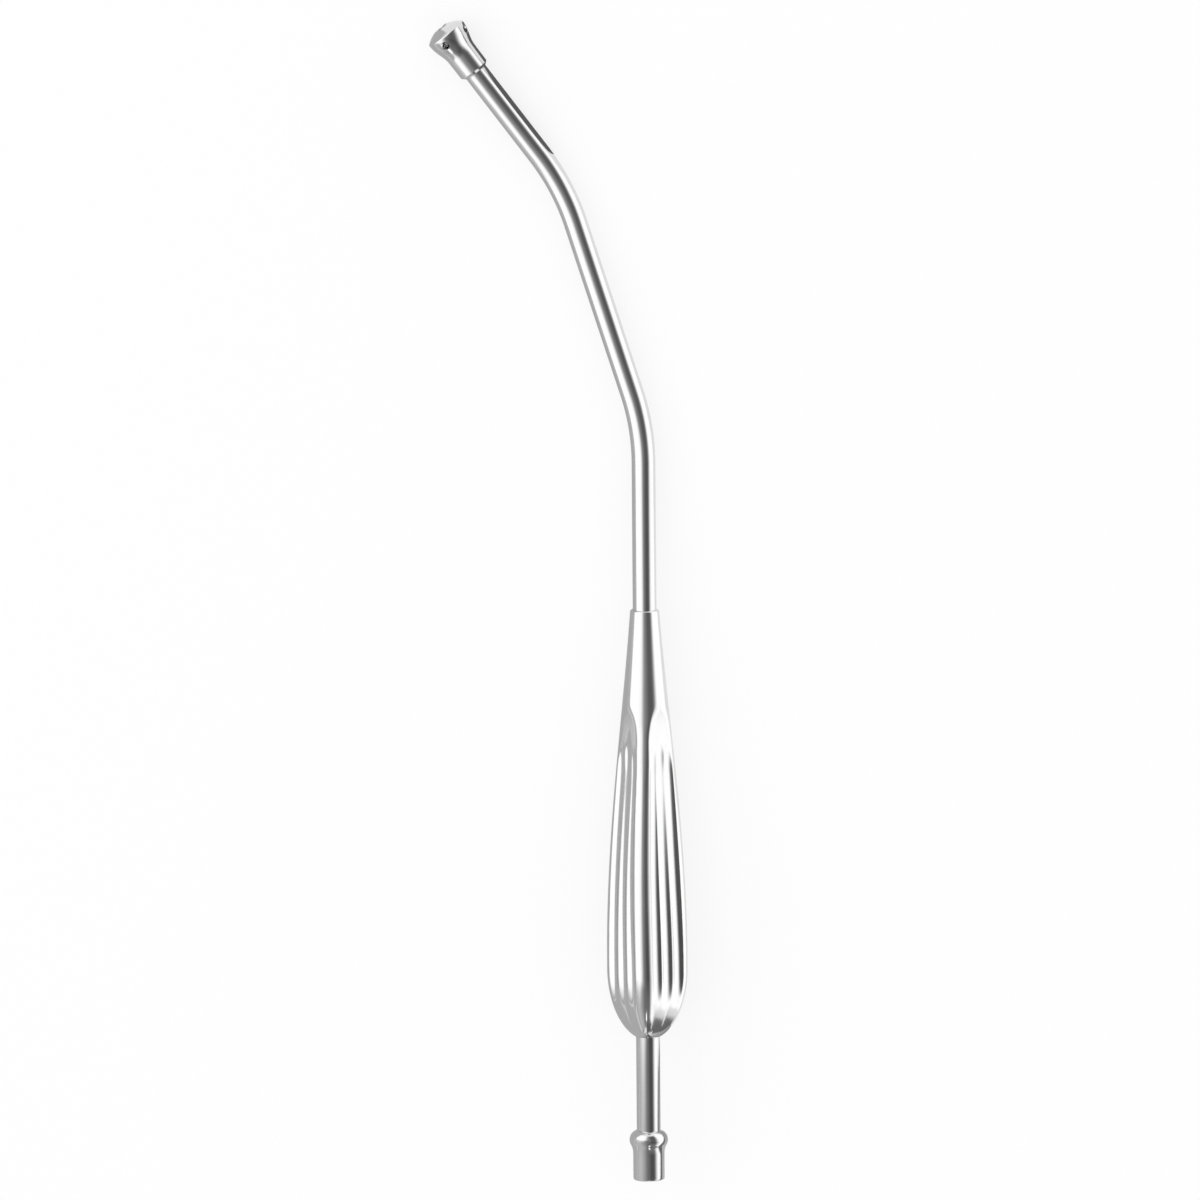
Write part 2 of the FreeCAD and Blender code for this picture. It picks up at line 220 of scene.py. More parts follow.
print("turned form: radius", REAR_RADIUS, "at the rear,", BELLY[1], "at the belly,", NOSE[1], "at the nose")

# %% [markdown]
# ## Handle: flats and flutes
# Four flats are pressed into the pear, and three round flutes are rolled into each flat for
# grip. Cutting them with booleans would leave hard seams, and polished steel has none: the
# buffing wheel rounds every ridge. So the section is worked out as one function. At any
# station and angle it takes the smallest of the land's arc, the flat and the three flutes,
# with a soft minimum that rounds the ridges by a fraction of a millimetre. The flats turn by a
# few degrees along the handle and back, and the flutes lift out of the steel at both ends.

# %% Handle section
TURNED_FORM = (BELLY, SHOULDER, NOSE)
FLATS = (FLAT_BELLY, FLAT_SHOULDER, FLAT_LEVEL, FLAT_RUN_OUT)
FLAT_TURN = -5.2
FLAT_TWIST = -3.1
TWIST_STATIONS = (8, 76)
FLUTE_RADIUS = 2.1
FLUTE_DEPTH = 0.62
FLUTE_SPREAD = (19.6, 16.0)
SPREAD_STATIONS = (20, 70)
MIDDLE_FLUTE_END = 70.8
OUTER_FLUTE_END = 69.5
FLUTE_FADE = 5.5
REAR_FADE = 11.5
REAR_LIFT = 4
LAND_SHARE = 0.66
LAND_EASES = (0.835, 0.89)
RIDGE_ROUND = 0.31
NOSE_RIDGE_ROUND = 0.1
RIDGE_EASES = (60, 74)
FAR_OFF = 99.0


def smooth_step(low, high, value):
    """Runs from 0 to 1 between two values, with a level start and end."""
    t = np.clip((value - low) / (high - low), 0, 1)
    return t * t * (3 - 2 * t)


def land_arc(radius, flat, angle):
    """Distance to a land's arc, which is tighter than the turned form while the flats are deep."""
    tightness = LAND_SHARE + (1 - LAND_SHARE) * smooth_step(*LAND_EASES, flat / radius)
    arc = radius * tightness
    offset = radius - arc
    return offset * np.cos(angle) + np.sqrt(arc ** 2 - (offset * np.sin(angle)) ** 2)


def flute_arc(distance, angle):
    """Distance to the near side of a flute's round cutter, or a large number beside it."""
    aside = distance * np.sin(angle)
    inside = (np.abs(aside) < FLUTE_RADIUS) & (np.cos(angle) > 0)
    height = np.sqrt(np.where(inside, FLUTE_RADIUS ** 2 - aside ** 2, 0))
    return np.where(inside, distance * np.cos(angle) - height, FAR_OFF)


def handle_section(stations, angles):
    """Radius of the finished handle at every station and angle."""
    radius = profile(TURNED_FORM, stations)[:, None]
    flat = profile(FLATS, stations)[:, None]
    level = np.maximum(stations, BELLY[0])
    level_radius = profile(TURNED_FORM, level)
    level_flat = profile(FLATS, level)
    quarter = math.pi / 2
    twist = np.clip(np.interp(stations, TWIST_STATIONS, (0, math.pi)), 0, math.pi)
    turned = angles[None, :] - np.radians(FLAT_TURN + FLAT_TWIST * np.sin(twist) ** 2)[:, None]
    from_land = (turned + quarter / 2) % quarter - quarter / 2
    from_flat = turned % quarter - quarter / 2
    near = [land_arc(radius, flat, from_land), flat / np.cos(from_flat)]
    spread = np.radians(np.interp(level, SPREAD_STATIONS, FLUTE_SPREAD))
    lift = REAR_LIFT * np.clip(1 - stations / REAR_FADE, 0, None) ** 2
    for side, end in ((-1, OUTER_FLUTE_END), (0, MIDDLE_FLUTE_END), (1, OUTER_FLUTE_END)):
        fade = np.clip((level - end + FLUTE_FADE) / FLUTE_FADE, 0, None)
        depth = FLUTE_DEPTH * level_radius / BELLY[1] * (1 - fade ** 2)
        distance = (level_flat - depth + FLUTE_RADIUS) / np.cos(side * spread)
        near.append(flute_arc(distance[:, None], from_flat - side * spread[:, None]) + lift[:, None])
    ridge = RIDGE_ROUND + (NOSE_RIDGE_ROUND - RIDGE_ROUND) * smooth_step(*RIDGE_EASES, stations)[:, None]
    near = np.stack(near)
    lowest = near.min(axis=0)
    return lowest - ridge * np.log(np.exp(-(near - lowest) / ridge).sum(axis=0))


print("4 flats with 3 flutes each, of", FLUTE_RADIUS, "mm radius and", FLUTE_DEPTH, "mm depth")

# %% [markdown]
# ## Handle: the skin
# The rings stand closer together where the form turns fast: over the rear dome, and where the
# flutes run out. The nose ends in a small round rim with a flat face, and the bore closes the
# skin just clear of the tube.

# %% Handle mesh
HANDLE_ANGLES = 480
HANDLE_BORE = 2.88
REAR_REACH = 17.42
RUN_OUT_BAND = (54, 84)
RIM_TURNS = (15, 30, 45, 60, 75, 90)


def dome_stations(count):
    """Stations that step evenly round the rear ellipse."""
    start = math.acos(BELLY_START / REAR_REACH)
    return BELLY_START - REAR_REACH * np.cos(np.linspace(start, math.pi / 2, count, endpoint=False))


angles = ring_angles(HANDLE_ANGLES)
outer_stations = np.concatenate([
    np.clip(dome_stations(44), 0, None),
    np.linspace(BELLY_START, RUN_OUT_BAND[0], 40, endpoint=False),
    np.linspace(*RUN_OUT_BAND, 56, endpoint=False),
    np.linspace(RUN_OUT_BAND[1], NOSE[0], 14),
])
outer_radii = handle_section(outer_stations, angles)
rim_turns = np.radians(RIM_TURNS)
rim_radii = outer_radii[-1][None, :] - NOSE_RIM_ROUND * (1 - np.cos(rim_turns))[:, None]
rim_stations = NOSE[0] + NOSE_RIM_ROUND * np.sin(rim_turns)
bore_stations = np.linspace(HANDLE_LENGTH, 0, 12)
bore_radii = np.full((len(bore_stations), HANDLE_ANGLES), HANDLE_BORE)
handle_rings = straight_rings(
    np.concatenate([outer_radii, rim_radii, bore_radii]),
    np.concatenate([outer_stations, rim_stations, bore_stations]), angles)
handle = build_piece("fluted_handle", handle_rings, handle_rings, "instrument", "handle")
sharpen(handle, 50)
belly_row = np.argmin(abs(outer_stations - BELLY[0]))
print("belly radius from", outer_radii[belly_row].min().round(2), "to", outer_radii[belly_row].max().round(2))

# %% [markdown]
# ## Suction tube
# The tube is one length of drawn steel with two soft bends. Its centreline is worked out the
# way a bender would set it: straight, arc, straight, arc, straight. Rings are swept along it,
# and their places are kept as if the tube were still straight.

# %% Tube mesh
TUBE_RADIUS = 2.85
TUBE_BORE = 2.35
BEND_RADIUS = 56.0
BENDS = (17.7, 19.2)
RUNS = (44.1, 61.2, 35.0)
TUBE_TAIL = -33.0
BUSH_FLANGE = 0.8
TUBE_END_ROUND = 0.12


def tube_centreline():
    """Stations along the tube, with the centre and heading in degrees at each."""
    setbacks = [BEND_RADIUS * math.tan(math.radians(bend) / 2) for bend in BENDS]
    straights = [HANDLE_LENGTH + RUNS[0] - setbacks[0] - TUBE_TAIL,
                 RUNS[1] - setbacks[0] - setbacks[1],
                 RUNS[2] - setbacks[1] - BUSH_FLANGE]
    centre, heading, station = np.array([0.0, TUBE_TAIL]), 0.0, TUBE_TAIL
    route = [(station, centre.copy(), heading)]
    for straight, bend in zip(straights, (*BENDS, 0)):
        along = np.array([-math.sin(math.radians(heading)), math.cos(math.radians(heading))])
        steps = max(2, int(straight / 4))
        for i in range(1, steps + 1):
            route.append((station + straight * i / steps, centre + along * straight * i / steps, heading))
        station, centre = route[-1][0], route[-1][1]
        steps = 28 if bend else 0
        for i in range(1, steps + 1):
            chord = 2 * BEND_RADIUS * math.sin(math.radians(bend / steps / 2))
            middle = math.radians(heading + bend / steps * (i - 0.5))
            station += BEND_RADIUS * math.radians(bend / steps)
            centre = centre + chord * np.array([-math.sin(middle), math.cos(middle)])
            route.append((station, centre, heading + bend / steps * i))
        heading += bend
    return route


def rings_along(route, radii, angles):
    """Rings of one radius each, square to the centreline, and their places if it were straight."""
    rings, places = [], []
    for (station, centre, heading), radius in zip(route, radii):
        heading = math.radians(heading)
        side = np.array([math.cos(heading), math.sin(heading), 0])
        across, rise = radius * np.sin(angles), radius * np.cos(angles)
        ring = np.array([*centre, 0]) + across[:, None] * side + rise[:, None] * np.array([0, 0, 1])
        rings.append(ring)
        places.append(np.stack([across, np.full_like(across, station), rise], axis=-1))
    return np.array(rings), np.array(places)


route = tube_centreline()
end_centre, end_heading = route[-1][1:]
tube_radii = [TUBE_RADIUS] * len(route) + [TUBE_RADIUS - TUBE_END_ROUND] + [TUBE_BORE] * len(route)
rings, places = rings_along(route + route[-1:] + route[::-1], tube_radii, ring_angles(96))
tube = build_piece("bent_tube", rings, places, "instrument", "suction_tube")
sharpen(tube, 50)
print("tube end", end_centre.round(2), "heading", round(end_heading, 1))

# %% [markdown]
# ## Hose olive
# The olive on the tail is turned from bar: a round bead that the hose snaps over, a soft waist,
# and a plain spigot. Its outline is a chain of arcs, sampled finely enough that the reflections
# run smoothly round it.

# %% Olive mesh
OLIVE_RADIUS = 4.6
OLIVE_ROUND = 2.4
OLIVE_STATION = -25.1
NECK_ROUND = 4.5
SPIGOT_RADIUS = 3.75
SPIGOT_EDGE = 0.5
TAIL_END = -34.8
SOLDER_GAP = 0.02
BORE_EDGE = 0.15
SOCKET_GAP = 0.2


def arc_points(centre, radius, start, end, count):
    """Outline points (radius, station) on an arc between two angles in degrees from +radius."""
    turns = np.radians(np.linspace(start, end, count))
    return [(centre[0] + radius * math.cos(t), centre[1] + radius * math.sin(t)) for t in turns]


def line_points(start, end, count):
    """Outline points on a straight line, both ends left out."""
    return [tuple(np.array(start) + (np.array(end) - start) * i / (count + 1))
            for i in range(1, count + 1)]


bead = (OLIVE_RADIUS - OLIVE_ROUND, OLIVE_STATION)
drop = math.sqrt((OLIVE_ROUND + NECK_ROUND) ** 2 - (SPIGOT_RADIUS + NECK_ROUND - bead[0]) ** 2)
neck = (SPIGOT_RADIUS + NECK_ROUND, OLIVE_STATION - drop)
waist_angle = math.degrees(math.atan2(-drop, neck[0] - bead[0]))
front_angle = math.degrees(math.acos((TUBE_RADIUS + SOLDER_GAP - bead[0]) / OLIVE_ROUND))
outline = arc_points(bead, OLIVE_ROUND, front_angle, waist_angle, 40)
outline += arc_points(neck, NECK_ROUND, 180 + waist_angle, 180, 12)[1:]
outline += line_points((SPIGOT_RADIUS, neck[1]), (SPIGOT_RADIUS, TAIL_END + SPIGOT_EDGE), 6)
outline += arc_points((SPIGOT_RADIUS - SPIGOT_EDGE, TAIL_END + SPIGOT_EDGE), SPIGOT_EDGE, 0, -90, 8)
outline += arc_points((TUBE_BORE + BORE_EDGE, TAIL_END + BORE_EDGE), BORE_EDGE, -90, -180, 4)
outline += [(TUBE_BORE, TUBE_TAIL - SOCKET_GAP), (TUBE_RADIUS + SOLDER_GAP, TUBE_TAIL - SOCKET_GAP)]
outline = np.array(outline)
olive_rings = straight_rings(outline[:, :1], outline[:, 1], ring_angles(128))
olive = build_piece("hose_bead", olive_rings, olive_rings, "instrument", "hose_olive")
sharpen(olive, 40)

# %% [markdown]
# ## Threaded bush
# A short bush is soldered into the tube's front end. Its thread is hidden until the tip is
# unscrewed, and then it should look cut, not drawn. The skin's radius follows a helix: each
# ring's angle shifts the ridge along the axis, so the thread really climbs, and it fades out
# at both ends as a die leaves it.

# %% Bush mesh
THREAD_RADIUS = 2.6
THREAD_LENGTH = 5.0
THREAD_PITCH = 0.5
THREAD_CUT = 0.27
THREAD_RUN_IN = (0.15, 0.6)
THREAD_RUN_OUT = (4.5, 4.95)
LEAD_CHAMFER = 0.28
LEAD_STATIONS = (4.6, 5.0)
BUSH_BORE = 1.8
BUSH_SHANK = 2.32
BUSH_DEPTH = 7
FLANGE_EDGE = 0.1
BUSH_ANGLES = 128

seat_turn = math.radians(end_heading)
seat_side = np.array([math.cos(seat_turn), math.sin(seat_turn), 0])
seat_ahead = np.array([-math.sin(seat_turn), math.cos(seat_turn), 0])
seat_centre = np.array([*end_centre, 0]) + BUSH_FLANGE * seat_ahead


def thread_radii(stations, angles):
    """Radius of the thread: a rounded V that climbs by one pitch a turn."""
    phase = (stations[:, None] / THREAD_PITCH - angles[None, :] / (2 * math.pi)) % 1
    depth = THREAD_CUT * smooth_step(0, 1, 1 - np.abs(2 * phase - 1))
    runs_in = smooth_step(*THREAD_RUN_IN, stations) * (1 - smooth_step(*THREAD_RUN_OUT, stations))
    lead = LEAD_CHAMFER * smooth_step(*LEAD_STATIONS, stations)
    return THREAD_RADIUS - depth * runs_in[:, None] - lead[:, None]


def at_seat(rings):
    """Moves rings that were drawn on the bench axis to the tip's seat on the bent tube."""
    return (seat_centre + rings[..., :1] * seat_side + rings[..., 1:2] * seat_ahead
            + rings[..., 2:] * np.array([0, 0, 1]))


bush_angles = ring_angles(BUSH_ANGLES)
thread_stations = np.linspace(0.05, THREAD_LENGTH, 100)
shank_end = -BUSH_FLANGE - BUSH_DEPTH
plain = [(BUSH_BORE, shank_end), (BUSH_SHANK, shank_end), (BUSH_SHANK, -BUSH_FLANGE),
         (TUBE_RADIUS - FLANGE_EDGE, -BUSH_FLANGE), (TUBE_RADIUS, -BUSH_FLANGE + FLANGE_EDGE),
         (TUBE_RADIUS, -FLANGE_EDGE), (TUBE_RADIUS - FLANGE_EDGE, 0), (THREAD_RADIUS, 0)]
bush_radii = np.concatenate([
    np.array([[radius] * BUSH_ANGLES for radius, _ in plain]),
    thread_radii(thread_stations, bush_angles),
    np.full((1, BUSH_ANGLES), BUSH_BORE)])
bush_stations = np.concatenate([[station for _, station in plain], thread_stations, [THREAD_LENGTH]])
bush_rings = straight_rings(bush_radii, bush_stations, bush_angles)
bush = build_piece("threaded_bush", at_seat(bush_rings), bush_rings, "instrument", "tip_bush")
sharpen(bush, 35)

# %% [markdown]
# ## Suction tip
# The tip is turned as a small flared bell with a shallow domed face, then drilled: one hole in
# the face and four through the side. The bell is a lathe skin with a real wall and chamber, and
# its rear end is a short cone, the skirt, which laps over the bush's flange.
# The holes are cut with a boolean, because a drilled hole meets a curved side in an edge that
# is hard to lay out by hand, and a cone at each hole breaks that edge as a countersink does.

# %% Tip mesh
TIP_LENGTH = 13.0
TIP_SEAT, TIP_COLLAR, TIP_COLLAR_STATION = 3.05, 3.75, 0.1
TIP_SKIRT, SKIRT_GAP, THREAD_MOUTH = 0.55, 0.06, 0.2
FLARE_START, FLARE_RADIUS = 4.6, 3.8
FLARE_FOOT_REACH, FLARE_HEAD_REACH, FLARE_HEAD_INSET = 2.3, 2.9, 0.15
RIM_RADIUS, RIM_FROM_SEAT, RIM_ROUND = 5.0, 11.1, 0.4
TIP_WALL, TIP_THROAT = 0.8, 1.9
TIP_BORE, TIP_BORE_END = 2.65, 5.6
END_HOLE = 1.5
HOLE_RADIUS, HOLE_CHAMFER, HOLE_STATION, HOLE_MOUTH = 0.85, 0.2, 9.0, 4.7
HOLE_BOTTOM, CONE_REACH, CUTTER_ANGLES = 2.2, 2, 48
HOLE_TURN = math.radians(-20)


def bezier_points(poles, count):
    """Outline points on a cubic curve with four poles, its first point left out."""
    t = np.linspace(0, 1, count + 1)[1:, None]
    a, b, c, d = np.array(poles, float)
    curve = (1 - t) ** 3 * a + 3 * t * (1 - t) ** 2 * b + 3 * t ** 2 * (1 - t) * c + t ** 3 * d
    return [tuple(p) for p in curve]


def tip_outline():
    """The bell's outline: skirt, collar, flare, rim and domed face, then back through its chamber."""
    rise = TIP_LENGTH - RIM_FROM_SEAT
    face = (RIM_RADIUS ** 2 + rise ** 2) / (2 * rise)
    face_centre = TIP_LENGTH - face
    round_radius = RIM_RADIUS - RIM_ROUND
    round_station = face_centre + math.sqrt((face - RIM_ROUND) ** 2 - round_radius ** 2)
    lean = math.degrees(math.atan2(round_station - face_centre, round_radius))
    skirt = (TIP_SEAT, -TIP_SKIRT)
    collar = (TIP_COLLAR, TIP_COLLAR_STATION)
    flare = (FLARE_RADIUS, FLARE_START)
    outline = [skirt] + line_points(skirt, collar, 4) + [collar]
    outline += line_points(collar, flare, 8) + [flare]
    outline += bezier_points([flare,
                              (FLARE_RADIUS, FLARE_START + FLARE_FOOT_REACH),
                              (RIM_RADIUS - FLARE_HEAD_INSET, round_station - FLARE_HEAD_REACH),
                              (RIM_RADIUS, round_station)], 30)
    outline += arc_points((round_radius, round_station), RIM_ROUND, 0, lean, 8)[1:]
    end_angle = math.degrees(math.acos((END_HOLE + HOLE_CHAMFER) / face))
    outline += arc_points((0, face_centre), face, lean, end_angle, 16)[1:]
    outline += [(END_HOLE, outline[-1][1] - HOLE_CHAMFER)]
    inner = face - TIP_WALL
    inside_angle = math.degrees(math.acos(END_HOLE / inner))
    chamber = RIM_RADIUS - TIP_WALL
    corner_angle = math.degrees(math.acos(chamber / inner))
    outline += arc_points((0, face_centre), inner, inside_angle, corner_angle, 8)
    corner = outline[-1]
    outline += [(chamber, corner[1] - TIP_WALL)]
    outline += [(TIP_THROAT, TIP_BORE_END + TIP_BORE - TIP_THROAT), (TIP_BORE, TIP_BORE_END)]
    outline += [(TIP_BORE, THREAD_MOUTH), (TIP_BORE + THREAD_MOUTH, 0)]
    outline += [(TUBE_RADIUS + SKIRT_GAP, 0), (TUBE_RADIUS + SKIRT_GAP, -TIP_SKIRT)]
    return outline


def hole_cutter(angle):
    """A drill with a cone at its mouth, as one turned solid that points out from the axis."""
    mouth = HOLE_MOUTH - HOLE_CHAMFER
    steps = [(HOLE_RADIUS, HOLE_BOTTOM), (HOLE_RADIUS, mouth), (HOLE_RADIUS + CONE_REACH, mouth + CONE_REACH)]
    around = CUTTER_ANGLES
    points, faces = [], []
    for radius, height in steps:
        points += [(radius * math.cos(t), radius * math.sin(t), height) for t in ring_angles(around)]
    for ring in range(2):
        for j in range(around):
            a, b = ring * around + j, ring * around + (j + 1) % around
            faces.append((a, b, b + around, a + around))
    faces += [tuple(range(around - 1, -1, -1)), tuple(range(2 * around, 3 * around))]
    across = np.array([math.cos(angle), 0, -math.sin(angle)])
    out = np.array([math.sin(angle), 0, math.cos(angle)])
    spots = [np.array([0, HOLE_STATION, 0]) + x * across + y * np.array([0, 1, 0]) + z * out
             for x, y, z in points]
    mesh = bpy.data.meshes.new("hole_cutter")
    mesh.from_pydata(on_table(at_seat(np.array(spots))).tolist(), [], faces)
    face_outwards(mesh)
    cutter = bpy.data.objects.new("hole_cutter", mesh)
    bpy.context.scene.collection.objects.link(cutter)
    return cutter


outline = np.array(tip_outline())
tip_rings = straight_rings(outline[:, :1], outline[:, 1], ring_angles(192))
tip = build_piece("suction_bell", at_seat(tip_rings), tip_rings, "tip", "suction_tip")
for i in range(4):
    cutter = hole_cutter(HOLE_TURN + i * math.pi / 2)
    cut = tip.modifiers.new("side_hole", "BOOLEAN")
    cut.object = cutter
    cut.solver = "EXACT"
    bpy.context.view_layer.update()
    finished = bpy.data.meshes.new_from_object(tip.evaluated_get(bpy.context.evaluated_depsgraph_get()))
    tip.modifiers.clear()
    tip.data = finished
    bpy.data.objects.remove(cutter)
sharpen(tip, 30)
print("drilled tip:", len(tip.data.polygons), "faces")

# %% [markdown]
# ## Polish
# Polished steel is never one flat value. A buffing wheel leaves lines too fine to see one by
# one, and handling leaves faint patches that are duller and a touch darker. The group is built
# once and puts out numbers only: the lines' height, the roughness and the tone. Each steel then
# uses it with its own values.

# %% Polish node group
def new_group(name, inputs, outputs):
    """A shader node group with named number inputs and outputs."""
    group = bpy.data.node_groups.new(name, "ShaderNodeTree")
    for label, kind, value in inputs:
        socket = group.interface.new_socket(label, in_out="INPUT", socket_type=kind)
        if value is not None:
            socket.default_value = value
    for label, kind in outputs:
        group.interface.new_socket(label, in_out="OUTPUT", socket_type=kind)
    return group, group.nodes.new("NodeGroupInput"), group.nodes.new("NodeGroupOutput")


def node(tree, kind, **settings):
    """A node with some of its settings changed. Names that start with in_ set input sockets."""
    made = tree.nodes.new(kind)
    for key, value in settings.items():
        if key.startswith("in_"):
            made.inputs[key[3:].replace("_", " ")].default_value = value
        else:
            setattr(made, key, value)
    return made


LINE_STREAK = 0.03


def make_polish_group():
    """Buffing lines and dull patches, as a height, a roughness and a tone."""
    group, given, result = new_group(
        "buffed_polish",
        [("Place", "NodeSocketVector", None), ("Line Spacing", "NodeSocketVector", (1, 1, 1)),
         ("Base Roughness", "NodeSocketFloat", 0.12), ("Dull Patches", "NodeSocketFloat", 0.06),
         ("Line Depth", "NodeSocketFloat", 0.5)],
        [("Height", "NodeSocketFloat"), ("Roughness", "NodeSocketFloat"), ("Tone", "NodeSocketFloat")])
    link = group.links.new
    stretched = node(group, "ShaderNodeVectorMath", operation="MULTIPLY")
    link(given.outputs["Place"], stretched.inputs[0])
    link(given.outputs["Line Spacing"], stretched.inputs[1])
    lines = node(group, "ShaderNodeTexNoise", in_Scale=1.0, in_Detail=3.0, in_Roughness=0.65)
    link(stretched.outputs[0], lines.inputs["Vector"])
    height = node(group, "ShaderNodeMath", operation="MULTIPLY")
    link(lines.outputs["Fac"], height.inputs[0])
    link(given.outputs["Line Depth"], height.inputs[1])
    link(height.outputs[0], result.inputs["Height"])
    patches = node(group, "ShaderNodeTexNoise", in_Scale=0.11, in_Detail=4.0, in_Roughness=0.55)
    link(given.outputs["Place"], patches.inputs["Vector"])
    mask = node(group, "ShaderNodeMapRange", in_From_Min=0.45, in_From_Max=0.75)
    link(patches.outputs["Fac"], mask.inputs["Value"])
    dull = node(group, "ShaderNodeMath", operation="MULTIPLY_ADD")
    link(mask.outputs[0], dull.inputs[0])
    link(given.outputs["Dull Patches"], dull.inputs[1])
    link(given.outputs["Base Roughness"], dull.inputs[2])
    streak = node(group, "ShaderNodeMath", operation="MULTIPLY_ADD", use_clamp=True)
    streak.inputs[1].default_value = LINE_STREAK
    link(lines.outputs["Fac"], streak.inputs[0])
    link(dull.outputs[0], streak.inputs[2])
    link(streak.outputs[0], result.inputs["Roughness"])
    tone = node(group, "ShaderNodeMapRange", in_From_Min=0.3, in_From_Max=0.7, in_To_Min=0.97, in_To_Max=1.0)
    link(patches.outputs["Fac"], tone.inputs["Value"])
    link(tone.outputs[0], result.inputs["Tone"])
    return group


polish_group = make_polish_group()
print("polish group sockets:", [s.name for s in polish_group.interface.items_tree])

# %% [markdown]
# ## The steels
# The same alloy is used all over, and the finishes differ: the handle is buffed lengthwise,
# the tube is drawn and polished along its run, and the turned pieces carry fine rings. The
# direction comes from the line spacing, which stretches the noise along one axis of the
# maker's place.

# %% Steel materials
STEEL = (0.73, 0.73, 0.73)
ALONG = (5.0, 0.12, 5.0)
AROUND = (0.35, 9.0, 0.35)


def polished_steel(name, spacing, roughness, patches, line_depth):
    """A metal with the polish group's roughness, tone and bump."""
    material = bpy.data.materials.new(name)
    material.use_nodes = True
    tree = material.node_tree
    shader = tree.nodes["Principled BSDF"]
    shader.inputs["Metallic"].default_value = 1.0
    place = node(tree, "ShaderNodeAttribute", attribute_name=MAKERS_PLACE)
    polish = node(tree, "ShaderNodeGroup", node_tree=polish_group, in_Line_Spacing=spacing,
                  in_Base_Roughness=roughness, in_Dull_Patches=patches, in_Line_Depth=line_depth)
    tree.links.new(place.outputs["Vector"], polish.inputs["Place"])
    tree.links.new(polish.outputs["Roughness"], shader.inputs["Roughness"])
    colour = node(tree, "ShaderNodeMix", data_type="RGBA", blend_type="MULTIPLY")
    colour.inputs["Factor"].default_value = 1.0
    colour.inputs["A"].default_value = (*STEEL, 1)
    tree.links.new(polish.outputs["Tone"], colour.inputs["B"])
    tree.links.new(colour.outputs["Result"], shader.inputs["Base Color"])
    bump = node(tree, "ShaderNodeBump", in_Strength=0.12, in_Distance=0.00002)
    tree.links.new(polish.outputs["Height"], bump.inputs["Height"])
    tree.links.new(bump.outputs["Normal"], shader.inputs["Normal"])
    return material


finishes = {
    handle: polished_steel("handle_polish", ALONG, 0.11, 0.05, 0.6),
    tube: polished_steel("tube_polish", ALONG, 0.10, 0.04, 0.5),
    olive: polished_steel("olive_polish", AROUND, 0.11, 0.04, 0.5),
    bush: polished_steel("thread_polish", AROUND, 0.18, 0.04, 0.6),
    tip: polished_steel("tip_polish", AROUND, 0.12, 0.04, 0.6),
}
for piece, material in finishes.items():
    piece.data.materials.clear()
    piece.data.materials.append(material)
print("steels:", [m.name for m in finishes.values()])

# %% [markdown]
# ## The studio
# A photographer of polished steel lights the cards, and the steel shows the cards. Each card
# here is part of a large drum whose axis is the handle's, so one angle tells which part of a
# round bar mirrors it: a surface that leans by some angle shows what stands at twice that
# angle. White stands left and right, a dark card hangs over the bench, and walls of grey and
# dark close the end behind the hose. A card's brightness is kept at its corners and fades
# between them, as a real soft light does. The camera sees none of the cards.

# %% Card helpers
DRUM_RADIUS = 1.6
DRUM_END = -3.0
DRUM_FRONT = 3.0
CARD_LEVEL = "card_level"
WHITE, GREY, DARK = 1.4, 0.52, 0.13


def card_material():
    """A plain glow whose strength is read from the card's corners."""
    material = bpy.data.materials.new("studio_card")
    material.use_nodes = True
    tree = material.node_tree
    tree.nodes.remove(tree.nodes["Principled BSDF"])
    level = node(tree, "ShaderNodeAttribute", attribute_name=CARD_LEVEL)
    light = node(tree, "ShaderNodeEmission", in_Color=(1, 1, 1, 1))
    tree.links.new(level.outputs["Fac"], light.inputs["Strength"])
    tree.links.new(light.outputs[0], tree.nodes["Material Output"].inputs["Surface"])
    return material


studio_card = card_material()


def stage_card(name, points, faces, levels, lights_floor=True):
    """A card that glows and is mirrored, but that the camera doesn't see."""
    mesh = bpy.data.meshes.new(name)
    mesh.from_pydata([tuple(p) for p in points], [], faces)
    mesh.attributes.new(CARD_LEVEL, "FLOAT", "POINT").data.foreach_set("value", levels)
    mesh.materials.append(studio_card)
    card = bpy.data.objects.new(name, mesh)
    bpy.context.scene.collection.objects.link(card)
    card.visible_camera = False
    card.visible_shadow = False
    card.visible_diffuse = lights_floor
    return card


def drum_card(name, angles, places, levels, lights_floor=True, radius=DRUM_RADIUS):
    """A part of the drum: a level for each angle in degrees and each place along the bench in metres."""
    points, values = [], []
    for angle, row in zip(angles, levels):
        spoke = bench_x * math.sin(math.radians(angle)) + bench_z * math.cos(math.radians(angle))
        for place, level in zip(places, row):
            points.append(bench_origin + spoke * radius + bench_y * place)
            values.append(level)
    width = len(places)
    faces = [(i * width + j, i * width + j + 1, (i + 1) * width + j + 1, (i + 1) * width + j)
             for i in range(len(angles) - 1) for j in range(width - 1)]
    return stage_card(name, points, faces, values, lights_floor)


def steps_between(first, last, step=6):
    """Angles from first to last, close enough together for a smooth curve."""
    return list(np.linspace(first, last, 1 + max(1, round(abs(last - first) / step))))


print("drum of cards:", DRUM_RADIUS, "m in radius, with levels", WHITE, GREY, DARK)

# %% [markdown]
# The white card on the left turns grey a little behind the instrument, so the steel turns grey
# towards the hose, and a strip of grey stands below it. A narrow white strip stands on the
# right. The dark card overhead gives every round surface its dark line, which is darkest right
# of the middle, and a bright spot at its far end leaves a white drop on the handle's rear end.
# The olive and the spigot mirror a small card of their own, 80 mm above the tail.

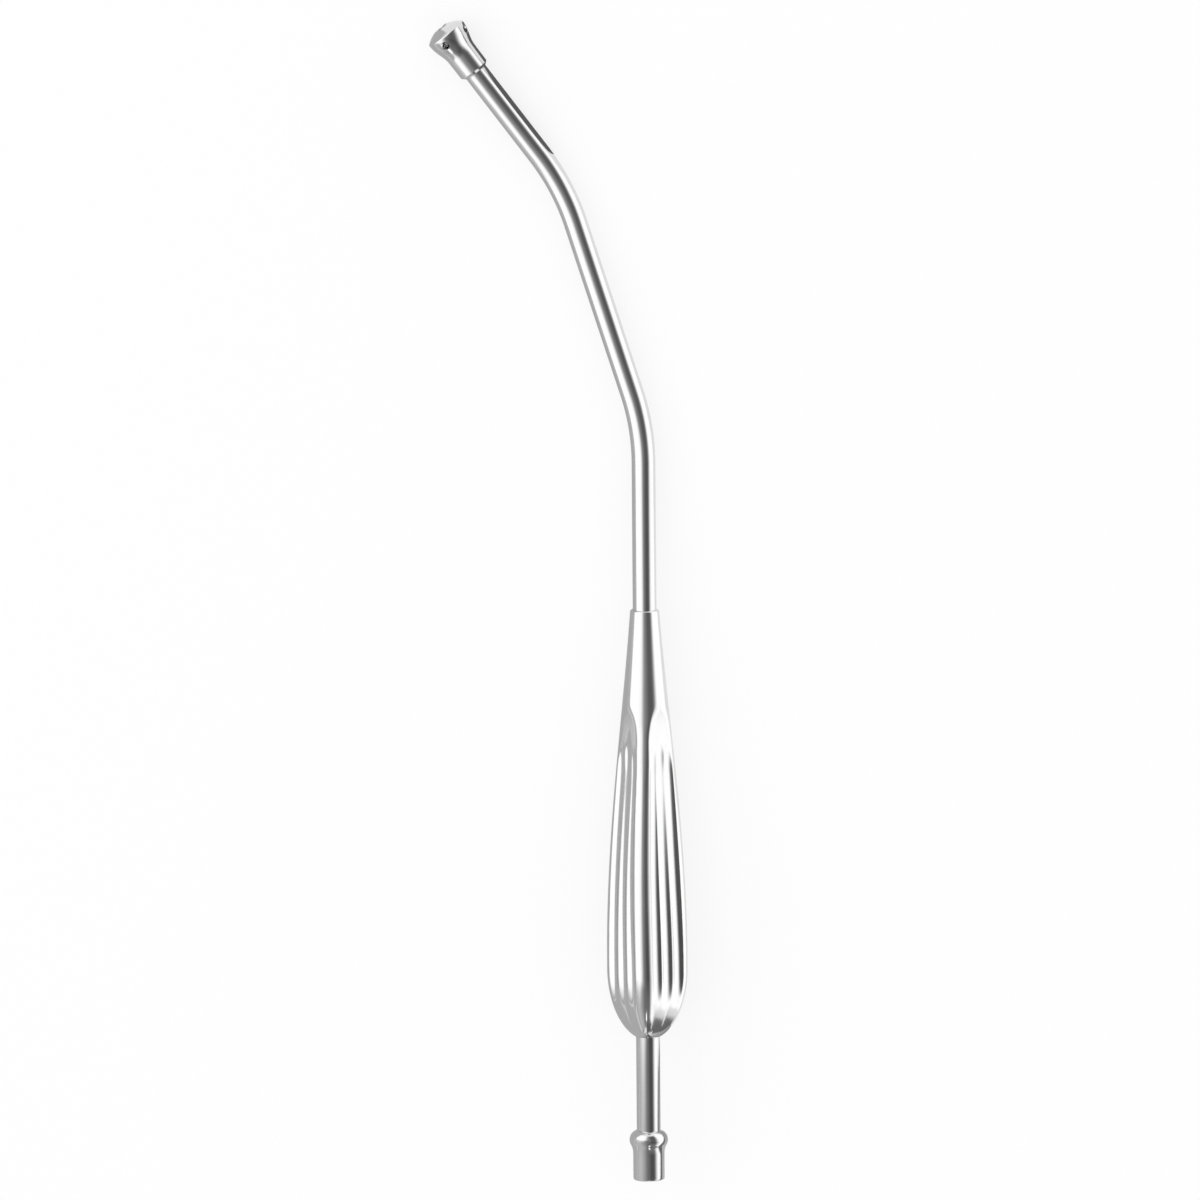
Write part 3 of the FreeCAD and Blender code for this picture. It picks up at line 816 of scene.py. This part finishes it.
# %% Studio cards
left_angles = steps_between(-85, -31)
LEFT_PLACES = [DRUM_END, -1.5, -1.28, -1.1, -0.9, DRUM_FRONT]
LOW_LEFT_LEVELS = [GREY, GREY, 0.72, 1.0, WHITE, WHITE]
HIGH_LEFT_LEVELS = [GREY, GREY, 1.3, WHITE, WHITE, WHITE]
LOW_LEFT_ANGLE = -63
drum_card("left_grey_card", [-98, -86], [DRUM_END, DRUM_FRONT], [[GREY, GREY], [GREY, GREY]])
drum_card("left_white_card", left_angles, LEFT_PLACES,
          [LOW_LEFT_LEVELS if angle < LOW_LEFT_ANGLE else HIGH_LEFT_LEVELS for angle in left_angles])

DARK_EDGES = {-30: 1.4, -20: 0.85, -13: 0.46, -7: 0.28, 0: 0.2, 8: 0.15, 14: 0.11, 20: 0.09, 36: 0.09,
              42: 0.14, 48: 0.3, 55: 0.65, 62: 1.1, 70: 1.4}
DARK_PLACES = [DRUM_END, -2.2, -1.7, -0.9, -0.3, 0.0, DRUM_FRONT]
DROP_ANGLES, DROP_LEVEL = (-20, 8), 2.0
FAR_LEVEL, MIDDLE_LEVEL, NEAR_SHARE, FRONT_SHARE = 0.2, 0.17, 0.9, 1.4


def dark_row(angle, level):
    """The dark card's levels at one angle, from the end behind the hose to the front."""
    far = DROP_LEVEL if DROP_ANGLES[0] <= angle <= DROP_ANGLES[1] else FAR_LEVEL
    front = min(level * FRONT_SHARE, WHITE)
    return [far, far, max(level, FAR_LEVEL), max(level, MIDDLE_LEVEL), level * NEAR_SHARE, front, front]


drum_card("dark_card", list(DARK_EDGES), DARK_PLACES,
          [dark_row(angle, level) for angle, level in DARK_EDGES.items()], lights_floor=False)
right_angles = steps_between(70, 81)
drum_card("right_white_card", right_angles, [DRUM_END, -2.2, -1.8, DRUM_FRONT],
          [[DARK, DARK, WHITE, WHITE]] * len(right_angles))

TAIL_RADIUS = 0.08
TAIL_PLACES = [-0.3, -0.044, -0.028, -0.0185, -0.012, -0.004]
TAIL_LEVELS = {
    -84: [0.52, 0.55, 0.58, 0.62, 0.7, 1.0],
    -72: [0.5, 0.64, 0.62, 0.67, 0.85, 1.2],
    -54: [0.5, 0.6, 0.76, 0.95, 1.15, 1.4],
    -40: [0.45, 0.49, 0.68, 0.85, 1.1, 1.4],
    -30: [0.35, 0.4, 0.52, 0.61, 0.9, 1.4],
    -20: [0.25, 0.31, 0.34, 0.35, 0.5, 0.85],
    -10: [0.2, 0.2, 0.23, 0.22, 0.3, 0.38],
    0: [0.17, 0.17, 0.18, 0.16, 0.18, 0.2],
}
drum_card("tail_card", list(TAIL_LEVELS), TAIL_PLACES, list(TAIL_LEVELS.values()),
          lights_floor=False, radius=TAIL_RADIUS)


def end_card(name, first, last, level):
    """A wall across the drum's end behind the hose, between two places across the bench in metres."""
    points = [bench_matrix @ Vector((x, DRUM_END, z)) for x, z in
              ((first, -0.6), (last, -0.6), (last, DRUM_RADIUS), (first, DRUM_RADIUS))]
    return stage_card(name, points, [(0, 1, 2, 3)], [level] * 4, lights_floor=False)


end_card("left_end_card", -DRUM_RADIUS, -1.1, GREY)
end_card("left_end_dark_card", -1.1, -0.75, DARK)
end_card("right_end_card", 0.05, DRUM_RADIUS, DARK)

# %% [markdown]
# The floor is white to the camera and to the steel, and it still takes a soft shadow: most of
# its shader is a plain white glow, and the rest is matt paint that the studio lights. Cards
# lie on it beside the instrument, where the steel mirrors them and the camera doesn't see
# them: grey along the left, white along the right, dark before the tip, and dark behind the
# handle's rear end, with a narrow card between that fades from the white to the dark.

# %% Floor, floor cards and world
FLOOR_HALF = 6.0
GLOW_SHARE = 0.78
CARD_LIFT = 0.0004
REAR_DARK = 0.17


def make_floor():
    mesh = bpy.data.meshes.new("floor")
    mesh.from_pydata([(-FLOOR_HALF, -FLOOR_HALF, 0), (FLOOR_HALF, -FLOOR_HALF, 0),
                      (FLOOR_HALF, FLOOR_HALF, 0), (-FLOOR_HALF, FLOOR_HALF, 0)], [], [(0, 1, 2, 3)])
    floor = bpy.data.objects.new("floor", mesh)
    bpy.context.scene.collection.objects.link(floor)
    material = bpy.data.materials.new("floor_white")
    material.use_nodes = True
    tree = material.node_tree
    tree.nodes.remove(tree.nodes["Principled BSDF"])
    paint = node(tree, "ShaderNodeBsdfDiffuse", in_Color=(0.9, 0.9, 0.9, 1))
    glow = node(tree, "ShaderNodeEmission", in_Color=(1, 1, 1, 1), in_Strength=1.0)
    mix = node(tree, "ShaderNodeMixShader", in_Fac=GLOW_SHARE)
    tree.links.new(paint.outputs[0], mix.inputs[1])
    tree.links.new(glow.outputs[0], mix.inputs[2])
    tree.links.new(mix.outputs[0], tree.nodes["Material Output"].inputs["Surface"])
    mesh.materials.append(material)
    return floor


def floor_card(name, corners, levels):
    """A card that lies on the floor, from corners on the bench in millimetres, with a level at each."""
    ground = [bench_matrix @ Vector((x * MM, y * MM, 0)) for x, y in corners]
    return stage_card(name, [(p.x, p.y, CARD_LIFT) for p in ground], [tuple(range(len(ground)))],
                      np.broadcast_to(levels, len(ground)).tolist(), lights_floor=False)


floor = make_floor()
floor_card("left_floor_card",
           [(-4, -60), (-4, -36), (-3, -4), (-9, 10), (-9, 30), (-6, 80), (-2, 103), (-2, 147),
            (-20, 205), (-47, 240), (-90, 300), (-900, 600), (-900, -600), (-4, -600)], GREY)
floor_card("tip_floor_card",
           [(-22, 212), (-46, 242), (-39, 248), (-29, 239), (-5, 248), (10, 290), (40, 262)], DARK)
floor_card("rear_fade_card",
           [(24, -8), (600, -325), (600, -450), (20, -13)], (1.0, 1.0, REAR_DARK, REAR_DARK))
floor_card("rear_floor_card",
           [(14, -8), (20, -13), (600, -450), (600, -1500), (60, -1500), (60, -90), (24, -60), (24, -16)],
           REAR_DARK)
floor_card("under_tail_card",
           [(3, -1), (14, -8), (24, -16), (24, -60), (3, -60)], (0.3, 0.3, 0.45, 0.85, 0.85))
floor_card("right_floor_card",
           [(24, -6), (22, 60), (13, 100), (13, 150), (-5, 203), (-5, 215), (40, 250), (1600, 1500),
            (1600, -870)], WHITE)

world = bpy.data.worlds.new("studio_world")
world.use_nodes = True
world.node_tree.nodes["Background"].inputs["Color"].default_value = (1, 1, 1, 1)
world.node_tree.nodes["Background"].inputs["Strength"].default_value = 1.0
bpy.context.scene.world = world

# %% [markdown]
# ## Finish
# The view transform stays plain, so that a written colour renders as written. The dressed
# model must stay inside the CAD model's box.

# %% Colour and finish
bpy.context.scene.view_settings.view_transform = "Standard"
